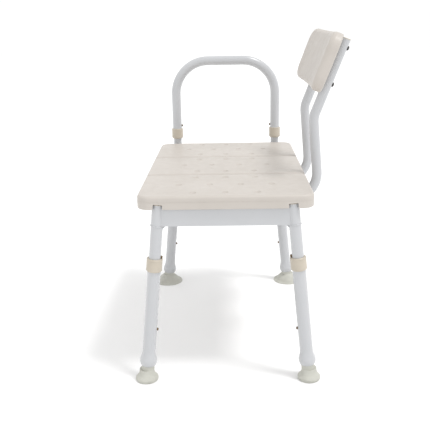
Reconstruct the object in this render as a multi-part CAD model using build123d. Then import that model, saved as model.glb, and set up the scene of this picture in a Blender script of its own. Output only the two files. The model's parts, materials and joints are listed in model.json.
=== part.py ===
from build123d import *
import os
from math import atan, cos, hypot, radians, sin, sqrt, tan

# Bath transfer bench. Millimetres, +Z up, X along the bench.
# The sitter faces -Y, the backrest is on +Y, the arm hoop and suction feet are at -X (the tub end),
# and the open end with the rubber tips is at +X (the entry end).
# The bench is modelled about the middle of its seat and moved at the end, so that the origin lies on
# the floor under the middle of the whole chair.

# ---- driving dimensions -------------------------------------------------------------------------

SEAT_LENGTH = 660.0
SEAT_DEPTH = 412.0
SEAT_HEIGHT = 473.0

PANEL_THICKNESS = 32.0
PANEL_COUNT = 3
PANEL_GAP = 3.5
PANEL_WALL = 3.0
PANEL_OUTER_CORNER = 30.0
PANEL_INNER_CORNER = 11.0
PANEL_TOP_ROUND = 7.0
PANEL_BOTTOM_ROUND = 2.0
DRAIN_DISH_RADIUS = 8.0
DRAIN_DISH_DEPTH = 3.5
DRAIN_HOLE_RADIUS = 3.0
DRAIN_PITCH = 75.5
DRAIN_ROW_SPACING = 75.5
SCREW_SPACING = 70.0
BLOW_HOLE_RADIUS = 3.0

TUBE_WALL = 1.5
SLIDE_CLEARANCE = 0.1
LEG_TUBE_DIAMETER = 28.6
POST_TUBE_DIAMETER = 25.4

LEG_END_INSET = 18.0
LEG_SIDE_INSET = 52.0
LEG_SPLAY_X = 1.2
LEG_SPLAY_Y = 5.7
LEG_NOTCH_RISE = 12.0
LEG_NOTCH_CLEARANCE = 6.2
LEG_TOP_GAP = 1.5
LEG_HOLE_PITCH = 20.0
LEG_HOLE_STEPS = 6
LEG_BUTTON_HEIGHT = 137.0
LEG_TUBE_BELOW_BUTTON = 20.0
LEG_COLLAR_DEPTH = 154.0
LEG_COLLAR_HEIGHT = 32.0
LEG_COLLAR_WALL = 3.2
ENTRY_TUBE_END_HEIGHT = 41.0
TUB_TUBE_END_HEIGHT = 34.0
FLARE_RADIUS = 20.8
FLARE_RISE = 12.0
FLARE_MOUTH_RADIUS = 17.6
FLARE_LEAD_RADIUS = 60.0

TIP_RADIUS = 27.5
TIP_RIM_HEIGHT = 10.0
TIP_SHOULDER_HEIGHT = 30.0
CUP_RADIUS = 45.0
CUP_RIM_HEIGHT = 2.5
CUP_SHOULDER_HEIGHT = 26.0
CUP_HOLLOW_RISE = 9.0
CUP_LIP_WIDTH = 3.0
FOOT_STEM_LENGTH = 12.0

BEAM_HEIGHT = 41.5
BEAM_WIDTH = 20.0
BEAM_WALL = 2.0
RAIL_HEIGHT = 25.0
RAIL_WIDTH = 20.0
RAIL_Y = 95.0
GUSSET_SIZE = 8.5
GUSSET_THICKNESS = 3.0
PLUG_LENGTH = 12.0
PLUG_CROWN = 1.5

SOCKET_X = 105.0
SOCKET_LENGTH = 300.0
SOCKET_DEPTH = 112.0
SOCKET_BUTTON_INSET = 30.0

POST_OUT_GAP = 37.0
POST_LOW_BEND = 68.0
POST_KNEE_GAP = 18.3
POST_KNEE_HEIGHT = 615.8
POST_HIGH_BEND = 60.0
POST_LEAN = 21.2
POST_TOP_HEIGHT = 806.8

BACK_WIDTH = 400.0
BACK_HEIGHT = 146.0
BACK_THICKNESS = 28.5
BACK_WALL = 3.0
BACK_CORNER = 38.0
BACK_FRONT_ROUND = 13.0
BACK_REAR_ROUND = 4.0
BACK_HOLLOW_RADIUS = 1700.0
BACK_MIDDLE_HEIGHT = 745.0
BACK_BOLT_SPACING = 94.0
BACK_BOLT_RADIUS = 3.0
BACK_BOLT_HEAD_RADIUS = 5.5
BACK_BOLT_HEAD_HEIGHT = 3.6
BACK_BOLT_REACH = 16.0
BACK_INSERT_RADIUS = 5.0
BACK_BOLT_CLEARANCE = 0.2

ARM_SIDE_INSET = 49.5
ARM_EDGE_GAP = 3.3
ARM_RISE = 271.5
ARM_CORNER = 102.0
ARM_COLLAR_RISE = 14.0
ARM_COLLAR_HEIGHT = 32.0
ARM_COLLAR_WALL = 3.3
ARM_BUTTON_RISE = 55.0
ARM_POST_ABOVE_BUTTON = 20.0
ARM_BRACKET_WIDTH = 18.0
ARM_BRACKET_MARGIN = 3.0

BUTTON_RADIUS = 3.5
BUTTON_CLEARANCE = 0.3
BUTTON_PROUD = 4.0
BUTTON_FLANGE_RADIUS = 4.8
BUTTON_FLANGE_THICKNESS = 1.2
SPRING_THICKNESS = 0.7
SPRING_WIDTH = 8.0
SPRING_LENGTH = 38.0

SCREW_RADIUS = 2.4
SCREW_HEAD_RADIUS = 4.5
SCREW_HEAD_HEIGHT = 2.6
SCREW_BITE = 14.0
SCREW_BOSS_RADIUS = 7.0
SCREW_ACCESS_RADIUS = 7.0

# ---- sizes that follow --------------------------------------------------------------------------

LEG_RADIUS = LEG_TUBE_DIAMETER / 2
LEG_BORE = LEG_RADIUS - TUBE_WALL
SLEEVE_BORE = LEG_RADIUS + SLIDE_CLEARANCE
SLEEVE_RADIUS = SLEEVE_BORE + TUBE_WALL
POST_RADIUS = POST_TUBE_DIAMETER / 2
POST_BORE = POST_RADIUS - TUBE_WALL
HOOP_BORE = POST_RADIUS + SLIDE_CLEARANCE
HOOP_RADIUS = HOOP_BORE + TUBE_WALL
SOCKET_BORE = POST_RADIUS + SLIDE_CLEARANCE
SOCKET_RADIUS = SOCKET_BORE + TUBE_WALL
BUTTON_TRAVEL = BUTTON_PROUD + TUBE_WALL + 2 * SLIDE_CLEARANCE
BUTTON_HOLE_RADIUS = BUTTON_RADIUS + BUTTON_CLEARANCE

PANEL_LENGTH = (SEAT_LENGTH - (PANEL_COUNT - 1) * PANEL_GAP) / PANEL_COUNT
UNDERSIDE = SEAT_HEIGHT - PANEL_THICKNESS
RAIL_BOTTOM = UNDERSIDE - RAIL_HEIGHT
SOCKET_HEIGHT = RAIL_BOTTOM - SOCKET_RADIUS
LEG_TOP_X = SEAT_LENGTH / 2 - LEG_END_INSET
LEG_TOP_Y = SEAT_DEPTH / 2 - LEG_SIDE_INSET
LEG_TRAVEL = LEG_HOLE_PITCH * LEG_HOLE_STEPS
POST_OUT_Y = SEAT_DEPTH / 2 + POST_OUT_GAP
POST_KNEE_Y = SEAT_DEPTH / 2 + POST_KNEE_GAP
ARM_X = -(SEAT_LENGTH / 2 + ARM_EDGE_GAP + POST_RADIUS)
ARM_Y = SEAT_DEPTH / 2 - ARM_SIDE_INSET

ENDS = {"entry": 1, "tub": -1}
SIDES = {"front": -1, "back": 1}
CORNERS = [(end, side) for end in ENDS for side in SIDES]


# ---- helpers ------------------------------------------------------------------------------------

def upright(radius, low, high):
    """A cylinder on the Z axis between two heights."""
    return Pos(0, 0, (low + high) / 2) * Cylinder(radius, high - low)


def pipe(radius, bore, low, high):
    """A straight tube on the Z axis between two heights."""
    return upright(radius, low, high) - upright(bore, low, high)


def revolved(points):
    """A solid turned about the Z axis from corner points given as (radius, height)."""
    outline = make_face(Polyline([(r, 0, z) for r, z in points], close=True))
    return revolve(outline, Axis.Z)


def side_hole(radius, reach, height):
    """A cutter along local +X at a height, for a hole in one wall of a tube on the Z axis."""
    return Pos(reach / 2, 0, height) * Rot(0, 90, 0) * Cylinder(radius, reach)


def bent_tube(path, radius, bore):
    """A round tube along a path of straight runs and arcs."""
    start = Plane(origin=path @ 0, z_dir=path % 0)
    return sweep(start * Circle(radius), path) - sweep(start * Circle(bore), path)


def snap_button(bore, outer):
    """A button on local +X with its flange inside a tube's bore and its dome proud of the outer radius."""
    seat = sqrt(bore**2 - BUTTON_FLANGE_RADIUS**2) - SLIDE_CLEARANCE
    tip = outer + BUTTON_PROUD
    shank = upright(BUTTON_RADIUS, seat - BUTTON_FLANGE_THICKNESS, tip)
    shank = fillet(shank.edges().sort_by(Axis.Z)[-1], BUTTON_RADIUS * 0.6)
    flange = upright(BUTTON_FLANGE_RADIUS, seat - BUTTON_FLANGE_THICKNESS, seat)
    return Rot(0, 90, 0) * (shank + flange)


def clip_spring(bore):
    """A folded leaf clip in a tube's bore: one arm under the button's flange, one on the far wall."""
    seat = sqrt(bore**2 - BUTTON_FLANGE_RADIUS**2) - SLIDE_CLEARANCE
    near = seat - BUTTON_FLANGE_THICKNESS - SPRING_THICKNESS / 2
    half_width = SPRING_WIDTH / 2
    far = -sqrt(bore**2 - half_width**2) + SPRING_THICKNESS / 2 + SLIDE_CLEARANCE
    foot = -BUTTON_FLANGE_RADIUS
    spine = FilletPolyline(
        (near, foot), (near, -foot), (far + 3, SPRING_LENGTH), (far, SPRING_LENGTH - 4), (far, foot),
        radius=1.2,
    )
    strip = trace(spine, SPRING_THICKNESS)
    return Rot(90, 0, 0) * extrude(strip, half_width, both=True)


# ---- legs ---------------------------------------------------------------------------------------

def leg_point(end, side, depth):
    """The leg's axis at a depth below the seat top, as X, Y and Z."""
    x = LEG_TOP_X + depth * tan(radians(LEG_SPLAY_X))
    y = LEG_TOP_Y + depth * tan(radians(LEG_SPLAY_Y))
    return Vector(ENDS[end] * x, SIDES[side] * y, SEAT_HEIGHT - depth)


def leg_frame(end, side):
    """A frame on the floor under a leg: local Z runs up the leg, local X faces the bench's mid-plane."""
    foot = leg_point(end, side, SEAT_HEIGHT)
    up = (leg_point(end, side, 0) - foot).normalized()
    inward = Vector(0, -SIDES[side], 0)
    inward = (inward - up * inward.dot(up)).normalized()
    return Plane(origin=foot, x_dir=inward, z_dir=up)


LEG_SLANT = 1 / hypot(1, tan(radians(LEG_SPLAY_X)), tan(radians(LEG_SPLAY_Y)))


def along_leg(height):
    """The distance up a leg's axis of a height above the floor."""
    return height / LEG_SLANT


LEG_TUBE_TOP = along_leg(UNDERSIDE + LEG_NOTCH_RISE) - LEG_TOP_GAP - PLUG_CROWN
LEG_BUTTON = along_leg(LEG_BUTTON_HEIGHT)
LEG_TUBE_BOTTOM = LEG_BUTTON - LEG_TUBE_BELOW_BUTTON
COLLAR_TOP = along_leg(SEAT_HEIGHT - LEG_COLLAR_DEPTH)
COLLAR_BOTTOM = COLLAR_TOP - LEG_COLLAR_HEIGHT
SLEEVE_TOP = COLLAR_TOP - LEG_COLLAR_WALL
STOP_BUTTON = COLLAR_TOP + BUTTON_RADIUS + BUTTON_CLEARANCE
TUBE_END = {"entry": along_leg(ENTRY_TUBE_END_HEIGHT), "tub": along_leg(TUB_TUBE_END_HEIGHT)}


def upper_leg():
    """The fixed inner tube of a leg, with holes for its lock button and its stop button."""
    tube = pipe(LEG_RADIUS, LEG_BORE, LEG_TUBE_BOTTOM, LEG_TUBE_TOP)
    for height in (LEG_BUTTON, STOP_BUTTON):
        tube -= side_hole(BUTTON_HOLE_RADIUS, SLEEVE_RADIUS * 2, height)
    return tube


def flare_arcs(offset):
    """The belled end's two arcs, offset outwards, as the straight radius, their joins and middles."""
    bulge = (FLARE_RISE**2 + (FLARE_RADIUS - FLARE_MOUTH_RADIUS) ** 2) / (
        2 * (FLARE_RADIUS - FLARE_MOUTH_RADIUS)
    )
    bulge_r = FLARE_RADIUS - bulge
    lead_r = SLEEVE_RADIUS + FLARE_LEAD_RADIUS
    lead_z = FLARE_RISE + sqrt((bulge + FLARE_LEAD_RADIUS) ** 2 - (lead_r - bulge_r) ** 2)
    tilt = atan((lead_z - FLARE_RISE) / (lead_r - bulge_r))
    big, small = bulge + offset, FLARE_LEAD_RADIUS - offset
    mouth = (bulge_r + sqrt(big**2 - FLARE_RISE**2), 0)
    crest = (bulge_r + big, FLARE_RISE)
    join = (bulge_r + big * cos(tilt), FLARE_RISE + big * sin(tilt))
    middle = (lead_r - small * cos(tilt / 2), lead_z - small * sin(tilt / 2))
    straight = (lead_r - small, lead_z)
    return mouth, crest, join, middle, straight


def flared_solid(offset, length):
    """A solid of the belled tube's outline from its mouth up, offset outwards."""
    mouth, crest, join, middle, straight = flare_arcs(offset)
    top = (straight[0], length)

    def at(point):
        return (point[0], 0, point[1])

    outline = [
        ThreePointArc(at(mouth), at(crest), at(join)),
        ThreePointArc(at(join), at(middle), at(straight)),
        Line(at(straight), at(top)),
        Line(at(top), (0, 0, length)),
        Line((0, 0, length), (0, 0, 0)),
        Line((0, 0, 0), at(mouth)),
    ]
    return revolve(make_face(Curve() + outline), Axis.Z)


def lower_leg(end):
    """The outer tube that slides on the upper leg, belled at its foot, with a row of button holes."""
    length = SLEEVE_TOP - TUBE_END[end]
    tube = flared_solid(0, length) - flared_solid(-TUBE_WALL, length)
    tube = Pos(0, 0, TUBE_END[end]) * tube
    for step in range(LEG_HOLE_STEPS + 1):
        height = LEG_BUTTON + step * LEG_HOLE_PITCH
        tube -= side_hole(BUTTON_HOLE_RADIUS, SLEEVE_RADIUS * 2, height)
    return tube


def leg_collar():
    """The moulded collar on the sleeve's top end, with a lip round the upper leg."""
    outer = SLEEVE_RADIUS + LEG_COLLAR_WALL
    body = revolved(
        [
            (SLEEVE_BORE, COLLAR_TOP), (outer - 1.4, COLLAR_TOP), (outer, COLLAR_TOP - 1.4),
            (outer, COLLAR_BOTTOM + 3), (outer - 1.6, COLLAR_BOTTOM), (SLEEVE_RADIUS, COLLAR_BOTTOM),
            (SLEEVE_RADIUS, SLEEVE_TOP), (SLEEVE_BORE, SLEEVE_TOP),
        ]
    )
    return body


def foot_stem(end, base_height):
    """The slanted stem that joins a foot's base to the belled tube, in the leg's own frame."""
    mouth = flare_arcs(-TUBE_WALL)[0][0]
    return upright(mouth, along_leg(base_height), TUBE_END[end] + FOOT_STEM_LENGTH)


def rubber_tip():
    """The flared base of a rubber tip, standing on Z = 0."""
    stem = flare_arcs(-TUBE_WALL)[0][0]
    base = revolved(
        [
            (0, 0), (TIP_RADIUS - 2, 0), (TIP_RADIUS, 2), (TIP_RADIUS, TIP_RIM_HEIGHT - 2),
            (TIP_RADIUS - 2, TIP_RIM_HEIGHT), (stem + 5.5, TIP_RIM_HEIGHT + 5),
            (stem + 2.6, TIP_SHOULDER_HEIGHT - 8), (stem + 1.8, TIP_SHOULDER_HEIGHT),
            (0, TIP_SHOULDER_HEIGHT),
        ]
    )
    return base


def suction_foot():
    """The wide base of a suction foot: a thin-lipped cup, hollow below, standing on Z = 0."""
    stem = flare_arcs(-TUBE_WALL)[0][0]
    base = revolved(
        [
            (0, 0), (CUP_RADIUS, 0), (CUP_RADIUS, CUP_RIM_HEIGHT), (CUP_RADIUS - 8, CUP_RIM_HEIGHT + 5),
            (stem + 10, CUP_SHOULDER_HEIGHT - 7), (stem + 3, CUP_SHOULDER_HEIGHT - 1),
            (stem + 1.8, CUP_SHOULDER_HEIGHT), (0, CUP_SHOULDER_HEIGHT),
        ]
    )
    lip = CUP_RADIUS - CUP_LIP_WIDTH
    hollow_radius = (lip**2 + CUP_HOLLOW_RISE**2) / (2 * CUP_HOLLOW_RISE)
    return base - Pos(0, 0, CUP_HOLLOW_RISE - hollow_radius) * Sphere(hollow_radius)


def foot(end, side):
    """A tip or suction foot with its base flat on the floor and its stem up the leg."""
    point = leg_point(end, side, SEAT_HEIGHT)
    base, low = (rubber_tip(), TIP_RIM_HEIGHT) if end == "entry" else (suction_foot(), CUP_SHOULDER_HEIGHT / 2)
    return Pos(point.X, point.Y, 0) * base + leg_frame(end, side) * foot_stem(end, low)


def leg_plug():
    """The cap in an upper leg's top end."""
    return upright(LEG_BORE, LEG_TUBE_TOP - PLUG_LENGTH, LEG_TUBE_TOP) + upright(
        LEG_RADIUS, LEG_TUBE_TOP, LEG_TUBE_TOP + PLUG_CROWN
    )


def legs():
    """Every piece of the four legs, by node name."""
    nodes = {"leg_plugs": [], "leg_lock_springs": [], "leg_stop_springs": []}
    for end, side in CORNERS:
        frame, name = leg_frame(end, side), f"{end}_{side}"
        nodes[f"upper_leg_{name}"] = frame * upper_leg()
        nodes[f"lower_leg_{name}"] = frame * lower_leg(end)
        nodes[f"leg_collar_{name}"] = frame * leg_collar()
        nodes[f"lock_button_{name}"] = frame * (Pos(0, 0, LEG_BUTTON) * snap_button(LEG_BORE, SLEEVE_RADIUS))
        nodes[f"stop_button_{name}"] = frame * (Pos(0, 0, STOP_BUTTON) * snap_button(LEG_BORE, LEG_RADIUS))
        nodes[f"{'rubber_tip' if end == 'entry' else 'suction_foot'}_{side}"] = foot(end, side)
        nodes["leg_plugs"].append(frame * leg_plug())
        nodes["leg_lock_springs"].append(frame * (Pos(0, 0, LEG_BUTTON) * clip_spring(LEG_BORE)))
        nodes["leg_stop_springs"].append(frame * (Pos(0, 0, STOP_BUTTON) * clip_spring(LEG_BORE)))
    return nodes


# ---- seat ---------------------------------------------------------------------------------------

def panel_middle(index):
    """The X of a panel's middle, counted from the tub end."""
    return (index - (PANEL_COUNT - 1) / 2) * (PANEL_LENGTH + PANEL_GAP)


def drain_places():
    """The staggered drain holes of one panel, about its middle."""
    outer_rows = [(row, DRAIN_PITCH * n) for row in (-DRAIN_ROW_SPACING, DRAIN_ROW_SPACING) for n in (-1, 0, 1)]
    middle_row = [(0, DRAIN_PITCH * n) for n in (-1.5, -0.5, 0.5, 1.5)]
    return outer_rows + middle_row


def screw_places():
    """The four fixing screws of one panel, about its middle."""
    return [(x, y) for x in (-SCREW_SPACING / 2, SCREW_SPACING / 2) for y in (-RAIL_Y, RAIL_Y)]


def rounded_slab(length, depth, low, high, corner_low_x, corner_high_x):
    """A flat slab with its upright edges rounded, by the radius at its -X and its +X end."""
    slab = Pos(0, 0, (low + high) / 2) * Box(length, depth, high - low)
    edges = slab.edges().filter_by(Axis.Z).sort_by(Axis.X)
    slab = fillet(edges[:2], corner_low_x)
    edges = slab.edges().filter_by(Axis.Z).sort_by(Axis.X)
    return fillet(edges[-2:], corner_high_x)


def leg_notch(end, side, margin):
    """The arch cut into a seat panel's edge round a leg top, grown by a margin."""
    radius = LEG_RADIUS + LEG_NOTCH_CLEARANCE + margin
    top = along_leg(UNDERSIDE + LEG_NOTCH_RISE) + margin
    return leg_frame(end, side) * upright(radius, along_leg(RAIL_BOTTOM), top)


def drain(low, high, margin):
    """A drain's shallow dish and the hole below it, grown by a margin."""
    dish_low = high - DRAIN_DISH_DEPTH - margin
    dish = Cone(DRAIN_HOLE_RADIUS + margin, DRAIN_DISH_RADIUS + margin, high - dish_low)
    return Pos(0, 0, (dish_low + high) / 2) * dish + upright(DRAIN_HOLE_RADIUS + margin, low, dish_low)


def seat_panel(index):
    """One hollow blow-moulded seat panel with its drain holes, screw bosses and leg notches."""
    middle = panel_middle(index)
    corners = [PANEL_INNER_CORNER, PANEL_INNER_CORNER]
    ends = {0: "tub", PANEL_COUNT - 1: "entry"}
    if index in ends:
        corners[(ENDS[ends[index]] + 1) // 2] = PANEL_OUTER_CORNER
    low, high = UNDERSIDE, SEAT_HEIGHT
    shell = rounded_slab(PANEL_LENGTH, SEAT_DEPTH, low, high, *corners)
    shell = fillet(shell.faces().sort_by(Axis.Z)[-1].edges(), PANEL_TOP_ROUND)
    shell = fillet(shell.faces().sort_by(Axis.Z)[0].edges(), PANEL_BOTTOM_ROUND)
    hollow = rounded_slab(
        PANEL_LENGTH - 2 * PANEL_WALL, SEAT_DEPTH - 2 * PANEL_WALL, low + PANEL_WALL, high - PANEL_WALL,
        corners[0] - PANEL_WALL, corners[1] - PANEL_WALL,
    )
    for x, y in drain_places():
        hollow -= Pos(x, y) * drain(low, high, PANEL_WALL)
        shell -= Pos(x, y) * drain(low, high, 0)
    for x, y in screw_places():
        hollow -= Pos(x, y) * upright(SCREW_BOSS_RADIUS, low, high)
        shell -= Pos(x, y) * upright(SCREW_RADIUS, low, low + SCREW_BITE)
    shell, hollow = Pos(middle) * shell, Pos(middle) * hollow
    if index in ends:
        for side in SIDES:
            shell -= leg_notch(ends[index], side, 0)
            hollow -= leg_notch(ends[index], side, PANEL_WALL)
    shell -= hollow
    return shell - Pos(middle) * upright(BLOW_HOLE_RADIUS, low, low + PANEL_WALL)


def seat():
    """The seat panels and their screws, by node name."""
    names = ["seat_panel_tub", "seat_panel_middle", "seat_panel_entry"]
    nodes = {name: seat_panel(index) for index, name in enumerate(names)}
    head_top = UNDERSIDE - BEAM_WALL
    screw = upright(SCREW_RADIUS, head_top, UNDERSIDE + SCREW_BITE)
    screw += upright(SCREW_HEAD_RADIUS, head_top - SCREW_HEAD_HEIGHT, head_top)
    nodes["seat_screws"] = [
        Pos(panel_middle(index) + x, y) * screw for index in range(PANEL_COUNT) for x, y in screw_places()
    ]
    return nodes


# ---- frame --------------------------------------------------------------------------------------

BEAM_X = LEG_TOP_X + (PANEL_THICKNESS + BEAM_HEIGHT / 2) * tan(radians(LEG_SPLAY_X))


def end_beam(end):
    """The rectangular tube between a pair of legs, coped round them."""
    reach = leg_point(end, "back", PANEL_THICKNESS + BEAM_HEIGHT / 2).Y
    at = Pos(ENDS[end] * BEAM_X, 0, UNDERSIDE - BEAM_HEIGHT / 2)
    beam = Box(BEAM_WIDTH, 2 * reach, BEAM_HEIGHT)
    beam -= Box(BEAM_WIDTH - 2 * BEAM_WALL, 2 * reach, BEAM_HEIGHT - 2 * BEAM_WALL)
    beam = at * beam
    for side in SIDES:
        beam -= leg_frame(end, side) * upright(LEG_RADIUS, COLLAR_TOP, along_leg(SEAT_HEIGHT))
    return beam


def side_rail(side):
    """A rectangular tube under the panels, from end beam to end beam, with its screw holes."""
    length = 2 * (BEAM_X - BEAM_WIDTH / 2)
    rail = Box(length, RAIL_WIDTH, RAIL_HEIGHT)
    rail -= Box(length, RAIL_WIDTH - 2 * BEAM_WALL, RAIL_HEIGHT - 2 * BEAM_WALL)
    rail = Pos(0, SIDES[side] * RAIL_Y, UNDERSIDE - RAIL_HEIGHT / 2) * rail
    for index in range(PANEL_COUNT):
        for x, y in screw_places():
            if y * SIDES[side] > 0:
                at = Pos(panel_middle(index) + x, y)
                rail -= at * upright(SCREW_RADIUS, UNDERSIDE - BEAM_WALL, UNDERSIDE)
                rail -= at * upright(SCREW_ACCESS_RADIUS, RAIL_BOTTOM, RAIL_BOTTOM + BEAM_WALL)
    return rail


def gusset(end, side):
    """A small triangular web under an end beam, against its leg."""
    corner = leg_point(end, side, PANEL_THICKNESS + BEAM_HEIGHT)
    inward = -SIDES[side]
    start = corner.Y
    reach = LEG_RADIUS + GUSSET_SIZE
    web = make_face(
        Polyline(
            [(0, start, 0), (0, start + inward * reach, 0), (0, start, -reach)], close=True
        )
    )
    web = Pos(ENDS[end] * BEAM_X, 0, corner.Z) * extrude(web, GUSSET_THICKNESS / 2, dir=(1, 0, 0), both=True)
    return web - leg_frame(end, side) * upright(LEG_RADIUS, COLLAR_TOP, along_leg(SEAT_HEIGHT))


def back_socket(end):
    """The cross tube that takes a back post from either side, stepped inside as a stop."""
    half = SOCKET_LENGTH / 2
    tube = upright(SOCKET_RADIUS, -half, half) - upright(POST_BORE, -half, half)
    for sign in (-1, 1):
        mouth = sorted((sign * half, sign * (half - SOCKET_DEPTH)))
        tube -= upright(SOCKET_BORE, *mouth)
        tube -= side_hole(BUTTON_HOLE_RADIUS, SOCKET_RADIUS * 2, sign * (half - SOCKET_BUTTON_INSET))
    return socket_frame(end) * tube


def socket_frame(end):
    """A frame on a back socket's axis: local Z runs to the back, local X points down."""
    return Plane(origin=(ENDS[end] * SOCKET_X, 0, SOCKET_HEIGHT), x_dir=(0, 0, -1), z_dir=(0, 1, 0))


def arm_bracket(side):
    """The block that carries an arm post on the tub end beam, coped round the leg."""
    beam_face = -(BEAM_X + BEAM_WIDTH / 2)
    middle_y = SIDES[side] * (ARM_Y - ARM_BRACKET_MARGIN - ARM_BRACKET_WIDTH / 2)
    height = BEAM_HEIGHT - 2 * ARM_BRACKET_MARGIN
    block = Pos((beam_face + ARM_X) / 2, middle_y, UNDERSIDE - BEAM_HEIGHT / 2) * Box(
        beam_face - ARM_X, ARM_BRACKET_WIDTH, height
    )
    block -= leg_frame("tub", side) * upright(LEG_RADIUS, COLLAR_TOP, along_leg(SEAT_HEIGHT))
    return block - Pos(ARM_X, SIDES[side] * ARM_Y) * upright(POST_RADIUS, RAIL_BOTTOM - BEAM_HEIGHT, SEAT_HEIGHT)


def frame():
    """The welded frame under the seat, by node name."""
    nodes = {"leg_gussets": [gusset(end, side) for end, side in CORNERS]}
    nodes["arm_brackets"] = [arm_bracket(side) for side in SIDES]
    for end in ENDS:
        nodes[f"end_beam_{end}"] = end_beam(end)
        nodes[f"back_socket_{end}"] = back_socket(end)
    for side in SIDES:
        nodes[f"side_rail_{side}"] = side_rail(side)
    return nodes


# ---- arm ----------------------------------------------------------------------------------------

ARM_BUTTON = SEAT_HEIGHT + ARM_BUTTON_RISE
ARM_COLLAR_BOTTOM = SEAT_HEIGHT + ARM_COLLAR_RISE
HOOP_FOOT = ARM_COLLAR_BOTTOM + ARM_COLLAR_WALL
ARM_POST_BOTTOM = UNDERSIDE - BEAM_HEIGHT + ARM_BRACKET_MARGIN
ARM_POST_TOP = ARM_BUTTON + ARM_POST_ABOVE_BUTTON


def arm_frame(side):
    """A frame on an arm post's axis: local X faces the bench's mid-plane."""
    return Plane(origin=(ARM_X, SIDES[side] * ARM_Y, 0), x_dir=(0, -SIDES[side], 0), z_dir=(0, 0, 1))


def arm_hoop():
    """The lift-off hoop, open at its two feet, with a button hole above each."""
    top = SEAT_HEIGHT + ARM_RISE - HOOP_RADIUS
    path = FilletPolyline(
        (ARM_X, -ARM_Y, HOOP_FOOT), (ARM_X, -ARM_Y, top), (ARM_X, ARM_Y, top), (ARM_X, ARM_Y, HOOP_FOOT),
        radius=ARM_CORNER,
    )
    hoop = bent_tube(path, HOOP_RADIUS, HOOP_BORE)
    for side in SIDES:
        hoop -= arm_frame(side) * side_hole(BUTTON_HOLE_RADIUS, HOOP_RADIUS * 2, ARM_BUTTON)
    return hoop


def arm_collar():
    """The moulded collar on a hoop's foot, with a lip round the post."""
    outer = HOOP_RADIUS + ARM_COLLAR_WALL
    top = ARM_COLLAR_BOTTOM + ARM_COLLAR_HEIGHT
    return revolved(
        [
            (HOOP_BORE, ARM_COLLAR_BOTTOM), (outer - 3, ARM_COLLAR_BOTTOM), (outer, ARM_COLLAR_BOTTOM + 3),
            (outer, top - 1.2), (outer - 1.2, top), (HOOP_RADIUS, top), (HOOP_RADIUS, HOOP_FOOT),
            (HOOP_BORE, HOOP_FOOT),
        ]
    )


def arm():
    """The arm posts, the hoop and its collars and buttons, by node name."""
    nodes = {"arm_hoop": arm_hoop(), "arm_springs": []}
    for side in SIDES:
        frame_here = arm_frame(side)
        post = pipe(POST_RADIUS, POST_BORE, ARM_POST_BOTTOM, ARM_POST_TOP)
        post -= side_hole(BUTTON_HOLE_RADIUS, POST_RADIUS * 2, ARM_BUTTON)
        nodes[f"arm_post_{side}"] = frame_here * post
        nodes[f"arm_collar_{side}"] = frame_here * arm_collar()
        nodes[f"arm_button_{side}"] = frame_here * (Pos(0, 0, ARM_BUTTON) * snap_button(POST_BORE, HOOP_RADIUS))
        nodes["arm_springs"].append(frame_here * (Pos(0, 0, ARM_BUTTON - SPRING_LENGTH) * flip(clip_spring(POST_BORE))))
    return nodes


def flip(clip):
    """A clip turned end for end, so that its fold points down and its button end is at the top."""
    return Pos(0, 0, SPRING_LENGTH) * Rot(180, 0, 0) * clip


# ---- back ---------------------------------------------------------------------------------------

POST_END = SOCKET_LENGTH / 2 - SOCKET_DEPTH + 2
POST_BUTTON = SOCKET_LENGTH / 2 - SOCKET_BUTTON_INSET


def lean_point(height):
    """The Y of a back post's leaning axis at a height."""
    return POST_KNEE_Y + (height - POST_KNEE_HEIGHT) * tan(radians(POST_LEAN))


def lean_frame(x, height):
    """A frame on a back post's leaning axis: local Y runs up the post, local Z faces the sitter."""
    lean = radians(POST_LEAN)
    return Plane(origin=(x, lean_point(height), height), x_dir=(1, 0, 0), z_dir=(0, -cos(lean), sin(lean)))


def bolt_heights():
    """The heights of a back post's two bolts."""
    half = BACK_BOLT_SPACING / 2 * cos(radians(POST_LEAN))
    return [BACK_MIDDLE_HEIGHT - half, BACK_MIDDLE_HEIGHT + half]


def back_post(end):
    """A bent back post: into its socket, out behind the seat, up and back."""
    x = ENDS[end] * SOCKET_X
    path = FilletPolyline(
        (x, POST_END, SOCKET_HEIGHT), (x, POST_OUT_Y, SOCKET_HEIGHT),
        (x, POST_KNEE_Y, POST_KNEE_HEIGHT), (x, lean_point(POST_TOP_HEIGHT), POST_TOP_HEIGHT),
        radius=(POST_LOW_BEND, POST_HIGH_BEND),
    )
    post = bent_tube(path, POST_RADIUS, POST_BORE)
    post -= socket_frame(end) * side_hole(BUTTON_HOLE_RADIUS, POST_RADIUS * 2, POST_BUTTON)
    hole = upright(BACK_BOLT_RADIUS + BACK_BOLT_CLEARANCE, -2 * POST_RADIUS, 2 * POST_RADIUS)
    for height in bolt_heights():
        post -= lean_frame(x, height) * hole
    return post


def curved_slab(inset):
    """The back panel's body, bowed towards the sitter at its ends, drawn in by an inset all round."""
    middle = sqrt((BACK_HOLLOW_RADIUS + POST_RADIUS) ** 2 - SOCKET_X**2)
    rear, front = BACK_HOLLOW_RADIUS - inset, BACK_HOLLOW_RADIUS - BACK_THICKNESS + inset
    reach = 3 * BACK_THICKNESS
    slab = Pos(0, 0, reach / 2) * Box(BACK_WIDTH - 2 * inset, BACK_HEIGHT - 2 * inset, reach)
    slab = fillet(slab.edges().filter_by(Axis.Z), BACK_CORNER - inset)
    bow = Cylinder(rear, BACK_HEIGHT) - Cylinder(front, BACK_HEIGHT)
    slab &= Pos(0, 0, middle) * Rot(90, 0, 0) * bow
    return fillet(slab.faces().sort_by(Axis.Z)[-1].edges(), BACK_FRONT_ROUND - inset)


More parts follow.
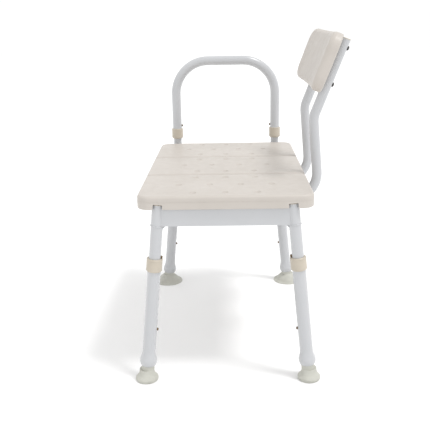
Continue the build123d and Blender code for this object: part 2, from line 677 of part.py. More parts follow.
def back_panel():
    """The one-piece hollow back panel, with blind bores for its threaded inserts."""
    slab, hollow = curved_slab(0), curved_slab(BACK_WALL)
    slab = fillet(slab.faces().sort_by(Axis.Z)[0].edges(), BACK_REAR_ROUND)
    for x, y in bolt_places():
        boss = upright(BACK_INSERT_RADIUS + BACK_WALL, 0, POST_RADIUS + BACK_BOLT_REACH + BACK_WALL)
        hollow -= Pos(x, y) * boss
        slab -= Pos(x, y) * upright(BACK_INSERT_RADIUS, 0, POST_RADIUS + BACK_BOLT_REACH)
    slab -= hollow
    slab -= upright(BLOW_HOLE_RADIUS, 0, POST_RADIUS + BACK_WALL)
    return lean_frame(0, BACK_MIDDLE_HEIGHT) * slab


def bolt_places():
    """The four back bolts, in the back panel's own frame."""
    return [(x, y) for x in (-SOCKET_X, SOCKET_X) for y in (-BACK_BOLT_SPACING / 2, BACK_BOLT_SPACING / 2)]


def back_bolt():
    """A domed bolt across a post, its head behind and its tip in the insert."""
    head_low = -POST_RADIUS - BACK_BOLT_HEAD_HEIGHT
    head = upright(BACK_BOLT_HEAD_RADIUS, head_low, -POST_RADIUS)
    head = fillet(head.edges().sort_by(Axis.Z)[0], BACK_BOLT_HEAD_HEIGHT * 0.7)
    return head + upright(BACK_BOLT_RADIUS, -POST_RADIUS, POST_RADIUS + BACK_BOLT_REACH - 2)


def post_plug(end):
    """The cap in a back post's top end."""
    at = lean_frame(ENDS[end] * SOCKET_X, POST_TOP_HEIGHT)
    plug = upright(POST_BORE, -PLUG_LENGTH, 0) + upright(POST_RADIUS, 0, PLUG_CROWN)
    return at * Rot(-90, 0, 0) * plug


def back():
    """The back posts, the panel and what holds them, by node name."""
    nodes = {"back_panel": back_panel(), "back_plugs": [post_plug(end) for end in ENDS]}
    panel_frame = lean_frame(0, BACK_MIDDLE_HEIGHT)
    insert = pipe(BACK_INSERT_RADIUS, BACK_BOLT_RADIUS, POST_RADIUS, POST_RADIUS + BACK_BOLT_REACH)
    nodes["back_bolts"] = [panel_frame * (Pos(x, y) * back_bolt()) for x, y in bolt_places()]
    nodes["back_inserts"] = [panel_frame * (Pos(x, y) * insert) for x, y in bolt_places()]
    nodes["back_springs"] = []
    for end in ENDS:
        at = socket_frame(end)
        nodes[f"back_post_{end}"] = back_post(end)
        nodes[f"back_button_{end}"] = at * (Pos(0, 0, POST_BUTTON) * snap_button(POST_BORE, SOCKET_RADIUS))
        nodes["back_springs"].append(at * (Pos(0, 0, POST_BUTTON - SPRING_LENGTH) * flip(clip_spring(POST_BORE))))
    return nodes


# ---- the whole chair ----------------------------------------------------------------------------

def moved(piece, shift):
    """A node moved by a shift, as one shape even when it is several solids."""
    if isinstance(piece, list):
        return Compound([solid for item in piece for solid in (Pos(shift) * item).solids()])
    return Pos(shift) * piece


def chair():
    """Every node, and the shift that puts the origin on the floor under the middle of the chair."""
    nodes = {}
    for group in (seat(), frame(), legs(), arm(), back()):
        nodes.update(group)
    boxes = [moved(piece, Vector()).bounding_box() for piece in nodes.values()]
    low_x, high_x = min(b.min.X for b in boxes), max(b.max.X for b in boxes)
    low_y, high_y = min(b.min.Y for b in boxes), max(b.max.Y for b in boxes)
    shift = Vector(-(low_x + high_x) / 2, -(low_y + high_y) / 2, 0)
    return {name: moved(piece, shift) for name, piece in nodes.items()}, shift


def main():
    """Write one STEP file for each node."""
    os.makedirs("parts", exist_ok=True)
    nodes, shift = chair()
    for name, node in nodes.items():
        export_step(node, f"parts/{name}.step")
    print(len(nodes), "nodes, shifted by", shift)


if __name__ == "__main__":
    main()
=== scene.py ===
"""Looks of a tub transfer bench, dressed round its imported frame."""

import json
import logging
from dataclasses import dataclass, field
from enum import Enum
from functools import lru_cache
from math import cos, pi, radians, sin

import bmesh
import bpy
from mathutils import Matrix, Vector


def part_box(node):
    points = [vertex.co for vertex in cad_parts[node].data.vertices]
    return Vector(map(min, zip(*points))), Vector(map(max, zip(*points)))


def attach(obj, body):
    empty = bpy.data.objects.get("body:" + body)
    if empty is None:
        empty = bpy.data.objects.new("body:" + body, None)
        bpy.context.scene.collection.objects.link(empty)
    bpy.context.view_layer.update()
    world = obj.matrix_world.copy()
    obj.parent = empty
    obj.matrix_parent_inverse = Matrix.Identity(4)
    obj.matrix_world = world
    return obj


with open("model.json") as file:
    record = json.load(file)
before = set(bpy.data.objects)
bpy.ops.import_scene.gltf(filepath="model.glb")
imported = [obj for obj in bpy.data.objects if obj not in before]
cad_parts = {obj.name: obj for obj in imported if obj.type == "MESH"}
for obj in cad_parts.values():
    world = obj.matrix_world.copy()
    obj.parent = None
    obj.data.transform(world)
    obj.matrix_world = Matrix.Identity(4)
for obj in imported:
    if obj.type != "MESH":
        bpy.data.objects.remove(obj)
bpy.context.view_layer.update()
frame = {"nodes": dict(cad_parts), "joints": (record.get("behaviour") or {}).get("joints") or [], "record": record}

log = logging.getLogger("transfer_bench")

Colour = tuple[float, float, float]

UP = Vector((0, 0, 1)).freeze()


class Slot(Enum):
    """The record's material slots."""

    POWDER_COAT = "powder_coat"
    SEAT_PLASTIC = "seat_plastic"
    COLLAR_PLASTIC = "collar_plastic"
    FOOT_RUBBER = "foot_rubber"
    BUTTON_METAL = "button_metal"
    SPRING_STEEL = "spring_steel"
    FASTENER_STEEL = "fastener_steel"
    INSERT_BRASS = "insert_brass"


class End(Enum):
    """The two ends of the bench, with the name of the foot each stands on."""

    ENTRY = "entry"
    TUB = "tub"

    @property
    def foot(self) -> str:
        """Return the start of the foot's node name at this end."""
        return "rubber_tip" if self is End.ENTRY else "suction_foot"


class Side(Enum):
    """The two long sides of the bench, by the sign of Y."""

    FRONT = "front"
    BACK = "back"

    @property
    def sign(self) -> int:
        """Return -1 for the front and 1 for the back."""
        return -1 if self is Side.FRONT else 1


# ---- finishes -------------------------------------------------------------------------------


@dataclass(frozen=True)
class Finish:
    """A moulded, coated or plated surface with grain, mottling and scuffs."""

    slot: Slot
    light: Colour
    dark: Colour
    roughness: float
    rough_spread: float = 0.08
    metallic: float = 0.0
    coat: float = 0.0
    grain_scale: float = 900.0
    grain_depth: float = 0.00004
    wave_scale: float = 0.0
    wave_depth: float = 0.0
    mottle_scale: float = 9.0
    scuff_scale: float = 60.0
    scuff: float = 0.06
    scuff_shade: float = 0.6
    mottle_range: tuple[float, float] = (0.35, 0.65)
    scuff_range: tuple[float, float] = (0.62, 0.74)
    rough_range: tuple[float, float] = (0.3, 0.7)
    coat_roughness: float = 0.25
    mottle_detail: float = 4.0
    scuff_detail: float = 6.0
    grain_detail: float = 2.0
    wave_detail: float = 1.0

    def build(self) -> bpy.types.Material:
        """Make the node material.

        Returns:
            The finished material, named after its slot.
        """
        material = bpy.data.materials.new(f"{self.slot.value}_finish")
        material.use_nodes = True
        tree = material.node_tree
        shader = tree.nodes["Principled BSDF"]
        shader.inputs["Metallic"].default_value = self.metallic
        shader.inputs["Coat Weight"].default_value = self.coat
        shader.inputs["Coat Roughness"].default_value = self.coat_roughness
        place = tree.nodes.new("ShaderNodeTexCoord").outputs["Object"]
        mottle = self._noise(tree, place, self.mottle_scale, self.mottle_detail)
        scuff = self._noise(tree, place, self.scuff_scale, self.scuff_detail)
        tree.links.new(self._colour(tree, mottle, scuff), shader.inputs["Base Color"])
        tree.links.new(self._roughness(tree, scuff), shader.inputs["Roughness"])
        tree.links.new(self._bump(tree, place), shader.inputs["Normal"])
        return material

    @staticmethod
    def _noise(
        tree: bpy.types.NodeTree, place: bpy.types.NodeSocket, scale: float, detail: float
    ) -> bpy.types.NodeSocket:
        """Add a noise texture and return its value.

        Args:
            tree: The material's node tree.
            place: The coordinates it reads.
            scale: Its scale, per metre.
            detail: How many octaves it has.

        Returns:
            The noise's value socket.
        """
        noise = tree.nodes.new("ShaderNodeTexNoise")
        noise.inputs["Scale"].default_value = scale
        noise.inputs["Detail"].default_value = detail
        tree.links.new(place, noise.inputs["Vector"])
        return noise.outputs["Fac"]

    def _colour(
        self, tree: bpy.types.NodeTree, mottle: bpy.types.NodeSocket, scuff: bpy.types.NodeSocket
    ) -> bpy.types.NodeSocket:
        """Mix the two base colours by the mottling, then darken the scuffs.

        Args:
            tree: The material's node tree.
            mottle: The broad noise.
            scuff: The fine noise.

        Returns:
            The colour socket.
        """
        base = tree.nodes.new("ShaderNodeValToRGB")
        base.color_ramp.elements[0].position = self.mottle_range[0]
        base.color_ramp.elements[1].position = self.mottle_range[1]
        base.color_ramp.elements[0].color = (*self.dark, 1.0)
        base.color_ramp.elements[1].color = (*self.light, 1.0)
        tree.links.new(mottle, base.inputs["Fac"])
        mask = tree.nodes.new("ShaderNodeMapRange")
        mask.inputs["From Min"].default_value = self.scuff_range[0]
        mask.inputs["From Max"].default_value = self.scuff_range[1]
        mask.inputs["To Max"].default_value = self.scuff
        tree.links.new(scuff, mask.inputs["Value"])
        mix = tree.nodes.new("ShaderNodeMix")
        mix.data_type = "RGBA"
        for socket in mix.inputs:
            if socket.name == "B" and socket.type == "RGBA":
                shade = [channel * self.scuff_shade for channel in self.dark]
                socket.default_value = (*shade, 1.0)
            if socket.name == "A" and socket.type == "RGBA":
                tree.links.new(base.outputs["Color"], socket)
        tree.links.new(mask.outputs["Result"], mix.inputs["Factor"])
        return next(s for s in mix.outputs if s.type == "RGBA")

    def _roughness(
        self, tree: bpy.types.NodeTree, scuff: bpy.types.NodeSocket
    ) -> bpy.types.NodeSocket:
        """Vary the roughness about its middle value.

        Args:
            tree: The material's node tree.
            scuff: The fine noise.

        Returns:
            The roughness socket.
        """
        spread = tree.nodes.new("ShaderNodeMapRange")
        spread.inputs["From Min"].default_value = self.rough_range[0]
        spread.inputs["From Max"].default_value = self.rough_range[1]
        spread.inputs["To Min"].default_value = self.roughness - self.rough_spread
        spread.inputs["To Max"].default_value = self.roughness + self.rough_spread
        tree.links.new(scuff, spread.inputs["Value"])
        return spread.outputs["Result"]

    def _bump(
        self, tree: bpy.types.NodeTree, place: bpy.types.NodeSocket
    ) -> bpy.types.NodeSocket:
        """Add the fine grain, and the slow waviness of a blow moulding where it has one.

        Args:
            tree: The material's node tree.
            place: The coordinates it reads.

        Returns:
            The normal socket.
        """
        grain = tree.nodes.new("ShaderNodeBump")
        grain.inputs["Distance"].default_value = self.grain_depth
        fine = self._noise(tree, place, self.grain_scale, self.grain_detail)
        tree.links.new(fine, grain.inputs["Height"])
        if self.wave_depth <= 0:
            return grain.outputs["Normal"]
        wave = tree.nodes.new("ShaderNodeBump")
        wave.inputs["Distance"].default_value = self.wave_depth
        slow = self._noise(tree, place, self.wave_scale, self.wave_detail)
        tree.links.new(slow, wave.inputs["Height"])
        tree.links.new(wave.outputs["Normal"], grain.inputs["Normal"])
        return grain.outputs["Normal"]


FINISHES: tuple[Finish, ...] = (
    Finish(
        Slot.POWDER_COAT, (0.50, 0.508, 0.522), (0.485, 0.493, 0.507), 0.24, coat=0.5,
        rough_spread=0.03, grain_scale=650.0, scuff=0.02,
    ),
    Finish(
        Slot.SEAT_PLASTIC, (0.535, 0.497, 0.457), (0.505, 0.468, 0.428), 0.44, scuff=0.03,
        grain_scale=1100.0, grain_depth=0.00006, wave_scale=14.0, wave_depth=0.0006,
    ),
    Finish(
        Slot.COLLAR_PLASTIC, (0.53, 0.477, 0.397), (0.485, 0.435, 0.36), 0.42,
        mottle_scale=30.0,
    ),
    Finish(
        Slot.FOOT_RUBBER, (0.52, 0.52, 0.468), (0.465, 0.463, 0.415), 0.58,
        grain_scale=700.0, grain_depth=0.00009, mottle_scale=35.0, scuff=0.25,
    ),
    # The buttons are brass, and their colour is darkened to a dark brown by painted shade: they look as if they
    # lie in shade.
    Finish(Slot.BUTTON_METAL, (0.20, 0.14, 0.08), (0.13, 0.09, 0.055), 0.32, metallic=0.8),
    Finish(Slot.SPRING_STEEL, (0.36, 0.36, 0.37), (0.28, 0.28, 0.29), 0.30, metallic=1.0),
    Finish(Slot.FASTENER_STEEL, (0.10, 0.095, 0.09), (0.06, 0.056, 0.053), 0.34, metallic=0.7),
    Finish(Slot.INSERT_BRASS, (0.55, 0.38, 0.16), (0.45, 0.30, 0.12), 0.35, metallic=1.0),
)


@dataclass
class Paintbox:
    """Every finish as a material, by slot."""

    materials: dict[Slot, bpy.types.Material] = field(default_factory=dict)

    def mix(self) -> None:
        """Build every finish."""
        for finish in FINISHES:
            self.materials[finish.slot] = finish.build()

    def dress_frame(self) -> None:
        """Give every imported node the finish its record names."""
        for entry in frame["record"]["subparts"]:
            node = frame["nodes"][entry["node"]]
            material = self.materials[Slot(entry["material_slot"])]
            if not node.material_slots:
                node.data.materials.append(material)
            for slot in node.material_slots:
                slot.material = material
            log.info("dressed %s in %s", entry["node"], entry["material_slot"])


# ---- shapes ---------------------------------------------------------------------------------


def aim(centre: Vector, axis: Vector) -> Matrix:
    """Make the placement that puts local Z along an axis at a point."""
    return Matrix.Translation(centre) @ axis.to_track_quat("Z", "Y").to_matrix().to_4x4()


def ring(
    bm: bmesh.types.BMesh, centre: Vector, axis: Vector, radius: float, section: float,
    steps: int = 48, sides: int = 10,
) -> None:
    """Spin a round section about an axis into a closed ring.

    Args:
        bm: The mesh it is added to.
        centre: The ring's middle.
        axis: The ring's axis.
        radius: From the axis to the middle of the section.
        section: The section's own radius.
        steps: How many steps go round the ring.
        sides: How many sides the section has.
    """
    before = set(bm.verts)
    profile = bmesh.ops.create_circle(bm, segments=sides, radius=section, cap_ends=False)["verts"]
    stand = Matrix.Translation((radius, 0, 0)) @ Matrix.Rotation(pi / 2, 4, "X")
    bmesh.ops.transform(bm, matrix=stand, verts=profile)
    edges = list(dict.fromkeys(edge for vert in profile for edge in vert.link_edges))
    bmesh.ops.spin(
        bm, geom=list(profile) + edges, cent=(0, 0, 0), axis=(0, 0, 1), angle=2 * pi,
        steps=steps, use_merge=True,
    )
    made = [vert for vert in bm.verts if vert not in before]
    bmesh.ops.transform(bm, matrix=aim(centre, axis), verts=made)


def button_recess(bm: bmesh.types.BMesh, centre: Vector, axis: Vector, radius: float) -> None:
    """Add a six-sided socket lining, open at its mouth, in a bolt's head.

    Args:
        bm: The mesh it is added to.
        centre: The mouth's middle.
        axis: The way out of the mouth.
        radius: From the axis to a corner.
    """
    before = set(bm.verts)
    mouth = bmesh.ops.create_circle(bm, segments=6, radius=radius, cap_ends=True)["verts"]
    floor = next(iter({face for vert in mouth for face in vert.link_faces}))
    bmesh.ops.inset_individual(bm, faces=[floor], thickness=radius * 0.25, depth=-radius * 0.3)
    made = [vert for vert in bm.verts if vert not in before]
    bmesh.ops.transform(bm, matrix=aim(centre, axis), verts=made)


def band(
    bm: bmesh.types.BMesh, low: Vector, high: Vector, corners: tuple[float, float], wall: float
) -> None:
    """Add a thin upright band round a rounded rectangle.

    Args:
        bm: The mesh it is added to.
        low: The band's lowest corner.
        high: The band's highest corner.
        corners: Corner radii at the -X and the +X end.
        wall: The band's thickness, inwards.
    """
    size, middle = high - low, (low + high) / 2
    slack, level = 1e-5, 0.9
    before = set(bm.verts)
    bmesh.ops.create_cube(
        bm, size=1.0, matrix=Matrix.Translation(middle) @ Matrix.Diagonal((*size, 1.0))
    )
    for sign, radius in zip((-1, 1), corners):
        upright = [
            edge for edge in bm.edges
            if edge.verts[0] not in before
            and abs(edge.verts[0].co.z - edge.verts[1].co.z) > size.z / 2
            and (edge.verts[0].co.x - middle.x) * sign > size.x / 2 - slack
        ]
        bmesh.ops.bevel(
            bm, geom=upright, offset=radius, segments=10, profile=0.5, affect="EDGES",
            material=-1,
        )
    lids = [
        face for face in bm.faces
        if face.verts[0] not in before and abs(face.normal.z) > level
    ]
    bmesh.ops.delete(bm, geom=lids, context="FACES_ONLY")
    sides = [face for face in bm.faces if face.verts[0] not in before]
    bmesh.ops.recalc_face_normals(bm, faces=sides)
    bmesh.ops.solidify(bm, geom=sides, thickness=wall)


@dataclass
class Maker:
    """What every sub-assembly needs to finish a piece."""

    paint: Paintbox

    def finish(self, name: str, bm: bmesh.types.BMesh, slot: Slot, body: str) -> bpy.types.Object:
        """Turn a mesh in progress into a dressed piece that rides on a body.

        Args:
            name: The piece's name.
            bm: The mesh, which is freed.
            slot: The finish it takes.
            body: The body it moves with.

        Returns:
            The new object.
        """
        bmesh.ops.remove_doubles(bm, verts=list(bm.verts), dist=1e-6)
        bmesh.ops.recalc_face_normals(bm, faces=list(bm.faces))
        for face in bm.faces:
            face.smooth = True
        mesh = bpy.data.meshes.new(name)
        bm.to_mesh(mesh)
        bm.free()
        piece = bpy.data.objects.new(name, mesh)
        bpy.context.scene.collection.objects.link(piece)
        piece.data.materials.append(self.paint.materials[slot])
        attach(piece, body)
        log.info("made %s, %d faces, on %s", name, len(mesh.polygons), body)
        return piece


@lru_cache(maxsize=None)
def node_box(node: str) -> tuple[Vector, Vector]:
    """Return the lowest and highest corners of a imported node, read once."""
    low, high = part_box(node)
    return low.freeze(), high.freeze()


def joint_axis(name: str) -> Vector:
    """Return the direction of a joint's travel."""
    joint = next(j for j in frame["joints"] if j["name"] == name)
    return Vector(joint["axis"]).normalized()


def middle_of(node: str) -> Vector:
    """Return the middle of a node's box."""
    low, high = node_box(node)
    return (low + high) / 2


# ---- sub-assemblies -------------------------------------------------------------------------


@dataclass
class SeatDeck(Maker):
    """The three seat panels' drain lips and mould lines."""

    pitch: float = 0.0755
    rows: float = 0.0755
    lip_radius: float = 0.0085
    lip_section: float = 0.0007
    lip_sink: float = 0.45
    outer_corner: float = 0.030
    inner_corner: float = 0.011
    line_height: float = 0.018
    line_width: float = 0.0008
    line_wall: float = 0.0009
    line_proud: float = 0.0003

    def build(self) -> None:
        """Make the pieces of each panel."""
        for name in ("seat_panel_tub", "seat_panel_middle", "seat_panel_entry"):
            self.drain_lips(name)
            self.mould_line(name)

    def drain_places(self) -> list[tuple[float, float]]:
        """Return the staggered drains of one panel, about its middle."""
        outer = [(row, n * self.pitch) for row in (-self.rows, self.rows) for n in (-1, 0, 1)]
        return outer + [(0.0, n * self.pitch) for n in (-1.5, -0.5, 0.5, 1.5)]

    def drain_lips(self, panel: str) -> None:
        """Add the softly raised lip round every drain of a panel.

        Args:
            panel: The panel's node.
        """
        _, high = node_box(panel)
        middle = middle_of(panel)
        height = high.z - self.lip_section * self.lip_sink
        bm = bmesh.new()
        for x, y in self.drain_places():
            centre = Vector((middle.x + x, middle.y + y, height))
            ring(bm, centre, UP, self.lip_radius, self.lip_section, steps=40, sides=10)
        self.finish(f"{panel}_drain_lips", bm, Slot.SEAT_PLASTIC, "frame")

    def mould_line(self, panel: str) -> None:
        """Add the thin line where the two halves of a panel's mould met.

        Args:
            panel: The panel's node.
        """
        low, high = node_box(panel)
        proud = self.line_proud
        corners = {
            "seat_panel_tub": (self.outer_corner, self.inner_corner),
            "seat_panel_middle": (self.inner_corner, self.inner_corner),
            "seat_panel_entry": (self.inner_corner, self.outer_corner),
        }[panel]
        bm = bmesh.new()
        base = low.z + self.line_height
        band(
            bm, Vector((low.x - proud, low.y - proud, base)),
            Vector((high.x + proud, high.y + proud, base + self.line_width)), corners,
            self.line_wall,
        )
        self.finish(f"{panel}_mould_line", bm, Slot.SEAT_PLASTIC, "frame")


@dataclass
class Leg(Maker):
    """One leg's weld, eyelets, collar beads and foot rings."""

    end: End = End.ENTRY
    side: Side = Side.FRONT
    tube_radius: float = 0.0143
    sleeve_radius: float = 0.0159
    collar_radius: float = 0.0191
    hole_pitch: float = 0.020
    hole_steps: int = 6
    eyelet_radius: float = 0.0041
    eyelet_section: float = 0.0005
    eyelet_sink: float = 0.0004
    weld_section: float = 0.0014
    weld_proud: float = 0.0002
    weld_ripple: float = 0.006
    weld_ripple_turn: float = 0.9
    bead_section: float = 0.0006
    bead_sink: float = 0.0002
    bead_inset: float = 0.0028
    tip_ring_heights: tuple[float, float] = (0.0035, 0.0065)
    tip_ring_radius: float = 0.0272
    tip_ring_section: float = 0.0007
    cup_rim: tuple[float, float, float] = (0.0443, 0.0022, 0.0009)
    cup_step: tuple[float, float, float] = (0.0370, 0.0074, 0.0008)

    @property
    def corner(self) -> str:
        """Return the end and side as the node names have them."""
        return f"{self.end.value}_{self.side.value}"

    @property
    def sleeve(self) -> str:
        """Return the lower tube's node, which is also the body it slides with."""
        return f"lower_leg_{self.corner}"

    @property
    def up(self) -> Vector:
        """Return the direction up the leg."""
        return -joint_axis(f"leg_height_{self.corner}")

    @property
    def floor_point(self) -> Vector:
        """Return where the leg's axis meets the floor."""
        foot = f"{self.end.foot}_{self.side.value}"
        middle = middle_of(foot)
        low, _ = node_box(foot)
        return Vector((middle.x, middle.y, low.z))

    def at_height(self, height: float) -> Vector:
        """Return the point of the leg's axis at a height above the floor."""
        return self.floor_point + self.up * ((height - self.floor_point.z) / self.up.z)

    def build(self) -> None:
        """Make the pieces of this leg."""
        self.weld()
        self.collar_beads()
        self.eyelets()
        if self.end is End.ENTRY:
            self.tip_rings()
        else:
            self.cup_rings()

    def weld(self) -> None:
        """Add the weld bead where the end beam meets the upper tube."""
        low, _ = node_box(f"end_beam_{self.end.value}")
        centre = self.at_height(low.z)
        bm = bmesh.new()
        radius = self.tube_radius + self.weld_proud
        ring(bm, centre, self.up, radius, self.weld_section, steps=72, sides=10)
        for index, vert in enumerate(bm.verts):
            ripple = 1.0 + self.weld_ripple * sin(index * self.weld_ripple_turn)
            vert.co = centre + (vert.co - centre) * ripple
        self.finish(f"weld_{self.corner}", bm, Slot.POWDER_COAT, "frame")

    def collar_beads(self) -> None:
        """Add the rolled beads at the top and foot of the sleeve's collar."""
        low, high = node_box(f"leg_collar_{self.corner}")
        reach = self.collar_radius * (1 - self.up.z**2) ** 0.5
        bm = bmesh.new()
        radius = self.collar_radius - self.bead_sink
        for height in (low.z + reach + self.bead_inset, high.z - reach - self.bead_inset):
            centre = self.at_height(height)
            ring(bm, centre, self.up, radius, self.bead_section, steps=56, sides=8)
        self.finish(f"collar_beads_{self.corner}", bm, Slot.COLLAR_PLASTIC, self.sleeve)

    def eyelets(self) -> None:
        """Add the pressed rim round every adjustment hole of the sleeve."""
        inward = -joint_axis(f"lock_button_{self.corner}_press")
        button = middle_of(f"lock_button_{self.corner}")
        base = self.floor_point + self.up * (button - self.floor_point).dot(self.up)
        reach = self.sleeve_radius - self.eyelet_sink
        bm = bmesh.new()
        for step in range(self.hole_steps + 1):
            centre = base + self.up * (step * self.hole_pitch) + inward * reach
            ring(bm, centre, inward, self.eyelet_radius, self.eyelet_section, steps=28, sides=8)
        self.finish(f"hole_rims_{self.corner}", bm, Slot.POWDER_COAT, self.sleeve)

    def tip_rings(self) -> None:
        """Add the moulded grip rings round a rubber tip."""
        radius, section = self.tip_ring_radius, self.tip_ring_section
        bm = bmesh.new()
        for height in self.tip_ring_heights:
            ring(bm, self.floor_point + UP * height, UP, radius, section, steps=64, sides=8)
        self.finish(f"tip_rings_{self.side.value}", bm, Slot.FOOT_RUBBER, self.sleeve)

    def cup_rings(self) -> None:
        """Add the rolled rim and the step ring of a suction cup."""
        bm = bmesh.new()
        for radius, height, section in (self.cup_rim, self.cup_step):
            ring(bm, self.floor_point + UP * height, UP, radius, section, steps=80, sides=8)
        self.finish(f"cup_rings_{self.side.value}", bm, Slot.FOOT_RUBBER, self.sleeve)


@dataclass
class ArmHoop(Maker):
    """The beads of the arm's two collars and the rims of its button holes."""

    hoop_radius: float = 0.0143
    collar_radius: float = 0.0176
    rim_radius: float = 0.0041
    rim_section: float = 0.0005
    rim_sink: float = 0.0004
    bead_section: float = 0.0006
    bead_sink: float = 0.0002
    bead_foot_inset: float = 0.0052
    bead_top_inset: float = 0.0024

    def build(self) -> None:
        """Make the pieces at each foot of the hoop."""
        for side in Side:
            self.collar_beads(side)
            self.button_rim(side)

    def collar_beads(self, side: Side) -> None:
        """Add the beads at the top and foot of one collar.

        Args:
            side: The side of the bench that the collar is on.
        """
        collar = f"arm_collar_{side.value}"
        low, high = node_box(collar)
        middle = middle_of(collar)
        radius = self.collar_radius - self.bead_sink
        bm = bmesh.new()
        for height in (low.z + self.bead_foot_inset, high.z - self.bead_top_inset):
            centre = Vector((middle.x, middle.y, height))
            ring(bm, centre, UP, radius, self.bead_section, steps=56, sides=8)
        self.finish(f"arm_collar_beads_{side.value}", bm, Slot.COLLAR_PLASTIC, "arm_hoop")

    def button_rim(self, side: Side) -> None:
        """Add the pressed rim round one button hole.

        Args:
            side: The side of the bench that the hole is on.
        """
        inward = Vector((0, -side.sign, 0))
        post = middle_of(f"arm_collar_{side.value}")
        button = middle_of(f"arm_button_{side.value}")
        centre = Vector((post.x, post.y, button.z)) + inward * (self.hoop_radius - self.rim_sink)
        bm = bmesh.new()
        ring(bm, centre, inward, self.rim_radius, self.rim_section, steps=28, sides=8)
        self.finish(f"arm_hole_rim_{side.value}", bm, Slot.POWDER_COAT, "arm_hoop")


@dataclass
class Backrest(Maker):
    """The washers and sockets of the back's bolts and the rims of its caps."""

    lean: float = radians(21.2)
    bolt_spacing: float = 0.094
    middle_height: float = 0.745
    post_radius: float = 0.0127
    head_height: float = 0.0036
    washer_radius: float = 0.0056
    washer_section: float = 0.0006
    washer_lift: float = 0.0004
    socket_radius: float = 0.0021
    socket_lift: float = 0.0001
    rim_section: float = 0.0007
    rim_sink: float = 0.0006

    @property
    def up(self) -> Vector:
        """Return the direction up the leaning part of the posts."""
        return Vector((0, sin(self.lean), cos(self.lean)))

    @property
    def rearward(self) -> Vector:
        """Return the way the bolt heads face."""
        return Vector((0, cos(self.lean), -sin(self.lean)))

    def cap_middle(self, end: End) -> Vector:
        """Find the middle of a post's top rim from the caps' box.

        Args:
            end: The end of the bench that the post is nearer to.

        Returns:
            The rim's middle.
        """
        _, high = node_box("back_plugs")
        post = middle_of(f"back_post_{end.value}")
        reach, drop = self.post_radius * cos(self.lean), self.post_radius * sin(self.lean)
        return Vector((post.x, high.y - reach, high.z - drop))

    def bolt_head(self, end: End, sign: int) -> Vector:
        """Find the point of the post's skin under one bolt head.

        Args:
            end: The end of the bench that the post is nearer to.
            sign: -1 for the lower bolt and 1 for the upper one.

        Returns:
            The point under the head.
        """
        cap = self.cap_middle(end)
        along = (self.middle_height - cap.z) / self.up.z + sign * self.bolt_spacing / 2
        return cap + self.up * along + self.rearward * self.post_radius

    def build(self) -> None:
        """Make the washers, sockets and cap rims."""
        washers, sockets, rims = bmesh.new(), bmesh.new(), bmesh.new()
        for end in End:
            for sign in (-1, 1):
                seat = self.bolt_head(end, sign)
                under = seat + self.rearward * self.washer_lift
                ring(
                    washers, under, self.rearward, self.washer_radius, self.washer_section,
                    steps=36, sides=8,
                )
                crown = seat + self.rearward * (self.head_height + self.socket_lift)
                button_recess(sockets, crown, self.rearward, self.socket_radius)
            radius = self.post_radius - self.rim_sink
            ring(rims, self.cap_middle(end), self.up, radius, self.rim_section, steps=48, sides=8)
        self.finish("back_washers", washers, Slot.FASTENER_STEEL, "back")
        self.finish("bolt_sockets", sockets, Slot.SPRING_STEEL, "back")
        self.finish("post_cap_rims", rims, Slot.COLLAR_PLASTIC, "back")


# ---- studio ---------------------------------------------------------------------------------


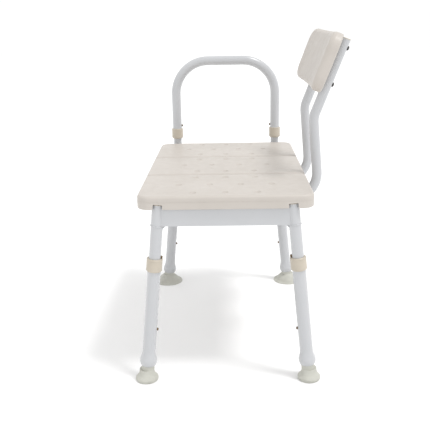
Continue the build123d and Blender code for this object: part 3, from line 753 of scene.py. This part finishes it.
@dataclass
class Studio:
    """A white floor, soft daylight and the camera."""

    lens: float = 56.124
    standing: Vector = field(default_factory=lambda: Vector((1.805689, 0.011306, 0.872153)))
    pitch: float = radians(16.742)
    yaw: float = radians(1.381)
    roll: float = radians(1.085)
    sensor: float = 36.0
    near: float = 0.05
    far: float = 60.0
    floor_reach: float = 14.0
    floor_tone: Colour = (0.93, 0.93, 0.93)
    sky_strength: float = 1.02
    sun_strength: float = 1.3
    sun_width: float = radians(13)
    toward_sun: tuple[float, float, float] = (0.20, 0.42, 1.0)

    def seat_middle(self) -> Vector:
        """Return the point of the floor under the middle of the seat."""
        low, _ = node_box("seat_panel_tub")
        _, high = node_box("seat_panel_entry")
        return Vector(((low.x + high.x) / 2, (low.y + high.y) / 2, 0))

    def camera(self) -> None:
        """Set up the camera."""
        ahead = Vector(
            (-cos(self.yaw) * cos(self.pitch), -sin(self.yaw) * cos(self.pitch), -sin(self.pitch))
        )
        level = Vector((-sin(self.yaw), cos(self.yaw), 0))
        over = level.cross(ahead)
        right = level * cos(self.roll) - over * sin(self.roll)
        top = level * sin(self.roll) + over * cos(self.roll)
        data = bpy.data.cameras.new("camera")
        data.lens, data.sensor_width = self.lens, self.sensor
        data.clip_start, data.clip_end = self.near, self.far
        camera = bpy.data.objects.new("camera", data)
        bpy.context.scene.collection.objects.link(camera)
        turn = Matrix((right, top, -ahead)).transposed().to_4x4()
        camera.matrix_world = Matrix.Translation(self.seat_middle() + self.standing) @ turn
        bpy.context.scene.camera = camera

    def floor(self) -> None:
        """Lay the plain pale floor."""
        bm = bmesh.new()
        bmesh.ops.create_grid(bm, x_segments=8, y_segments=8, size=self.floor_reach)
        mesh = bpy.data.meshes.new("floor")
        bm.to_mesh(mesh)
        bm.free()
        floor = bpy.data.objects.new("floor", mesh)
        bpy.context.scene.collection.objects.link(floor)
        material = bpy.data.materials.new("floor_paint")
        material.use_nodes = True
        shader = material.node_tree.nodes["Principled BSDF"]
        shader.inputs["Base Color"].default_value = (*self.floor_tone, 1)
        shader.inputs["Roughness"].default_value = 0.9
        shader.inputs["Specular IOR Level"].default_value = 0.1
        floor.data.materials.append(material)

    def daylight(self) -> None:
        """Set the sky and the key light."""
        world = bpy.data.worlds.new("studio")
        world.use_nodes = True
        sky = world.node_tree.nodes["Background"]
        sky.inputs["Color"].default_value = (1, 1, 1, 1)
        sky.inputs["Strength"].default_value = self.sky_strength
        bpy.context.scene.world = world
        data = bpy.data.lights.new("key", "SUN")
        data.energy, data.angle = self.sun_strength, self.sun_width
        key = bpy.data.objects.new("key", data)
        bpy.context.scene.collection.objects.link(key)
        key.matrix_world = aim(Vector((1, 2, 3)), Vector(self.toward_sun).normalized())
        bpy.context.scene.view_settings.view_transform = "Standard"

    def build(self) -> None:
        """Make the whole studio."""
        self.camera()
        self.floor()
        self.daylight()


def main() -> None:
    """Build the studio, dress the frame and add every detailed piece."""
    logging.basicConfig(level=logging.INFO, format="%(name)s: %(message)s")
    Studio().build()
    paint = Paintbox()
    paint.mix()
    paint.dress_frame()
    SeatDeck(paint).build()
    for end in End:
        for side in Side:
            Leg(paint, end=end, side=side).build()
    ArmHoop(paint).build()
    Backrest(paint).build()


if __name__ == "__main__":
    main()
